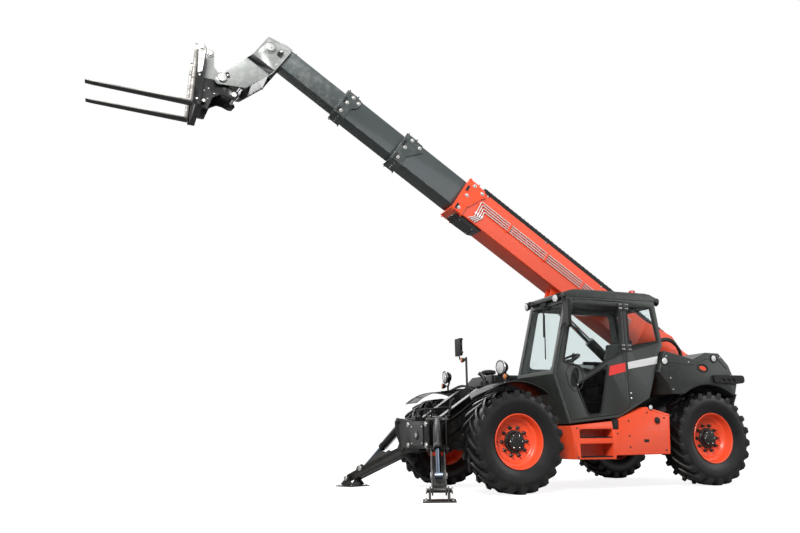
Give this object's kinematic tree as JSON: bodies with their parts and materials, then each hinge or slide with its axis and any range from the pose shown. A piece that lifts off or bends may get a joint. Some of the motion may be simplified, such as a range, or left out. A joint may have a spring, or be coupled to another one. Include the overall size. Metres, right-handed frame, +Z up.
{
  "type": "telehandler",
  "caption": "Telescopic handler with a side cab, a nested extending boom raised over the front, pallet forks, steered wheels and folding front stabilisers.",
  "frame": {"origin": "on the ground, under the middle of the overall length and width", "axes": "+X forward towards the fork tips, +Y to the operator's left, +Z up"},
  "size_m": [9.0424, 3.4646, 5.9439],
  "materials": {
    "orange": "gloss",
    "dark_grey": "satin",
    "boom_grey": "satin",
    "head_grey": "satin",
    "black": "satin",
    "tyre": "matte",
    "chrome": "polished",
    "fork_steel": "worn",
    "glass": "clear",
    "seat_fabric": "matte"
  },
  "bodies": {
    "chassis": {"chassis_frame": "orange", "counterweight": "dark_grey", "front_axle": "black", "rear_axle": "black", "side_step_tank": "orange", "stabiliser_bracket": "black", "rear_body_left": "dark_grey", "rear_body_right": "dark_grey", "engine_bay": "orange", "engine_block": "black", "front_fender_left": "dark_grey", "front_fender_right": "dark_grey", "cab_frame": "dark_grey", "cab_roof": "dark_grey", "windscreen": "glass", "quarter_glass": "glass", "right_glass": "glass", "rear_glass": "glass", "seat": "seat_fabric", "steering_column": "black", "mirror_mast": "black"},
    "door": {"door_frame": "dark_grey", "door_glass_upper": "glass", "door_glass_lower": "glass"},
    "hood": {"engine_hood": "dark_grey"},
    "boom": {"boom_base": "orange"},
    "boom_2": {"boom_section_2": "boom_grey"},
    "boom_3": {"boom_section_3": "boom_grey"},
    "boom_4": {"boom_section_4": "boom_grey", "boom_head": "head_grey"},
    "lift_barrel": {"lift_cylinder_barrel": "black"},
    "lift_rod": {"lift_cylinder_rod": "chrome"},
    "tilt_barrel": {"tilt_cylinder_barrel": "black"},
    "tilt_rod": {"tilt_cylinder_rod": "chrome"},
    "carriage": {"quick_hitch": "head_grey", "fork_carriage": "black", "fork_left": "fork_steel", "fork_right": "fork_steel"},
    "leg_left": {"stabiliser_leg_left": "black"},
    "pad_left": {"stabiliser_pad_left": "black"},
    "leg_barrel_left": {"stabiliser_barrel_left": "black"},
    "leg_rod_left": {"stabiliser_rod_left": "chrome"},
    "leg_right": {"stabiliser_leg_right": "black"},
    "pad_right": {"stabiliser_pad_right": "black"},
    "leg_barrel_right": {"stabiliser_barrel_right": "black"},
    "leg_rod_right": {"stabiliser_rod_right": "chrome"},
    "front_knuckle_left": {"front_knuckle_left": "black"},
    "front_wheel_left": {"front_rim_left": "orange", "front_tyre_left": "tyre"},
    "front_knuckle_right": {"front_knuckle_right": "black"},
    "front_wheel_right": {"front_rim_right": "orange", "front_tyre_right": "tyre"},
    "rear_knuckle_left": {"rear_knuckle_left": "black"},
    "rear_wheel_left": {"rear_rim_left": "orange", "rear_tyre_left": "tyre"},
    "rear_knuckle_right": {"rear_knuckle_right": "black"},
    "rear_wheel_right": {"rear_rim_right": "orange", "rear_tyre_right": "tyre"}
  },
  "joints": [
    {"name": "boom_lift", "type": "hinge", "parent": "chassis", "child": "boom", "pos_m": [-3.93121, 0, 1.7], "axis": [0, -1, 0], "range_deg": [-36, 33]},
    {"name": "telescope_2", "type": "slide", "parent": "boom", "child": "boom_2", "axis": [0.8368, 0, 0.5476], "range_m": [-0.7, 2.6]},
    {"name": "telescope_3", "type": "slide", "parent": "boom_2", "child": "boom_3", "axis": [0.8368, 0, 0.5476], "range_m": [-0.7, 2.6]},
    {"name": "telescope_4", "type": "slide", "parent": "boom_3", "child": "boom_4", "axis": [0.8368, 0, 0.5476], "range_m": [-0.7, 2.6]},
    {"name": "lift_barrel_hinge", "type": "hinge", "parent": "chassis", "child": "lift_barrel", "pos_m": [-3.68121, 0, 1.051], "axis": [0, -1, 0], "range_deg": [-33, 31]},
    {"name": "lift_rod_slide", "type": "slide", "parent": "lift_barrel", "child": "lift_rod", "axis": [0.756, 0, 0.6546], "range_m": [-0.41, 0.38]},
    {"name": "fork_tilt", "type": "hinge", "parent": "boom_4", "child": "carriage", "pos_m": [2.92523, 0, 5.18047], "axis": [0, 1, 0], "range_deg": [-50, 55]},
    {"name": "tilt_barrel_hinge", "type": "hinge", "parent": "boom_4", "child": "tilt_barrel", "pos_m": [2.30011, 0, 5.77049], "axis": [0, 1, 0], "range_deg": [-3.5, 3.8]},
    {"name": "tilt_rod_slide", "type": "slide", "parent": "tilt_barrel", "child": "tilt_rod", "axis": [0.5122, 0, -0.8589], "range_m": [-0.2, 0.18]},
    {"name": "cab_door", "type": "hinge", "parent": "chassis", "child": "door", "pos_m": [-2.30921, 1.166, 1.8], "axis": [0, 0, 1], "range_deg": [0, 80]},
    {"name": "hood_lid", "type": "hinge", "parent": "chassis", "child": "hood", "pos_m": [-1.94121, -0.3, 1.53], "axis": [-1, 0, 0], "range_deg": [0, 55]},
    {"name": "stabiliser_left", "type": "hinge", "parent": "chassis", "child": "leg_left", "pos_m": [0.14579, 0.469, 0.524], "axis": [0.9135, -0.4067, 0], "range_deg": [-12, 65]},
    {"name": "stabiliser_left_pad", "type": "hinge", "parent": "leg_left", "child": "pad_left", "pos_m": [0.60854, 1.50836, 0.115], "axis": [0.9135, -0.4067, 0], "range_deg": [-32, 30]},
    {"name": "stabiliser_left_barrel", "type": "hinge", "parent": "chassis", "child": "leg_barrel_left", "pos_m": [0.1824, 0.55122, 0.885], "axis": [0.9135, -0.4067, 0], "range_deg": [-13, 67]},
    {"name": "stabiliser_left_rod", "type": "slide", "parent": "leg_barrel_left", "child": "leg_rod_left", "axis": [0.3201, 0.7191, -0.6168], "range_m": [-0.4, 0.08]},
    {"name": "stabiliser_right", "type": "hinge", "parent": "chassis", "child": "leg_right", "pos_m": [0.14579, -0.469, 0.524], "axis": [-0.9135, -0.4067, 0], "range_deg": [-12, 65]},
    {"name": "stabiliser_right_pad", "type": "hinge", "parent": "leg_right", "child": "pad_right", "pos_m": [0.60854, -1.50836, 0.115], "axis": [-0.9135, -0.4067, 0], "range_deg": [-32, 30]},
    {"name": "stabiliser_right_barrel", "type": "hinge", "parent": "chassis", "child": "leg_barrel_right", "pos_m": [0.1824, -0.55122, 0.885], "axis": [-0.9135, -0.4067, 0], "range_deg": [-13, 67]},
    {"name": "stabiliser_right_rod", "type": "slide", "parent": "leg_barrel_right", "child": "leg_rod_right", "axis": [0.3201, -0.7191, -0.6168], "range_m": [-0.4, 0.08]},
    {"name": "steer_front_left", "type": "hinge", "parent": "chassis", "child": "front_knuckle_left", "pos_m": [-0.59121, 0.903, 0.612], "axis": [0, 0, 1], "range_deg": [-33, 33]},
    {"name": "spin_front_left", "type": "hinge", "parent": "front_knuckle_left", "child": "front_wheel_left", "pos_m": [-0.59121, 1.033, 0.612], "axis": [0, 1, 0], "continuous": true},
    {"name": "steer_front_right", "type": "hinge", "parent": "chassis", "child": "front_knuckle_right", "pos_m": [-0.59121, -0.903, 0.612], "axis": [0, 0, 1], "range_deg": [-33, 33]},
    {"name": "spin_front_right", "type": "hinge", "parent": "front_knuckle_right", "child": "front_wheel_right", "pos_m": [-0.59121, -1.033, 0.612], "axis": [0, 1, 0], "continuous": true},
    {"name": "steer_rear_left", "type": "hinge", "parent": "chassis", "child": "rear_knuckle_left", "pos_m": [-3.57121, 0.903, 0.612], "axis": [0, 0, 1], "range_deg": [-33, 33]},
    {"name": "spin_rear_left", "type": "hinge", "parent": "rear_knuckle_left", "child": "rear_wheel_left", "pos_m": [-3.57121, 1.033, 0.612], "axis": [0, 1, 0], "continuous": true},
    {"name": "steer_rear_right", "type": "hinge", "parent": "chassis", "child": "rear_knuckle_right", "pos_m": [-3.57121, -0.903, 0.612], "axis": [0, 0, 1], "range_deg": [-33, 33]},
    {"name": "spin_rear_right", "type": "hinge", "parent": "rear_knuckle_right", "child": "rear_wheel_right", "pos_m": [-3.57121, -1.033, 0.612], "axis": [0, 1, 0], "continuous": true}
  ],
  "couplings": [
    {"joint": "telescope_3", "follows": "telescope_2", "ratio": 1},
    {"joint": "telescope_4", "follows": "telescope_2", "ratio": 1},
    {"joint": "lift_barrel_hinge", "follows": "boom_lift", "ratio": 0.908},
    {"joint": "lift_rod_slide", "follows": "boom_lift", "m_per_rad": 0.6344},
    {"joint": "tilt_barrel_hinge", "follows": "fork_tilt", "ratio": 0.0628},
    {"joint": "tilt_rod_slide", "follows": "fork_tilt", "m_per_rad": -0.2014},
    {"joint": "stabiliser_left_barrel", "follows": "stabiliser_left", "ratio": 1.022},
    {"joint": "stabiliser_left_rod", "follows": "stabiliser_left", "m_per_rad": -0.339},
    {"joint": "stabiliser_right_barrel", "follows": "stabiliser_right", "ratio": 1.022},
    {"joint": "stabiliser_right_rod", "follows": "stabiliser_right", "m_per_rad": -0.339},
    {"joint": "steer_front_right", "follows": "steer_front_left", "ratio": 1},
    {"joint": "steer_rear_right", "follows": "steer_rear_left", "ratio": 1}
  ]
}
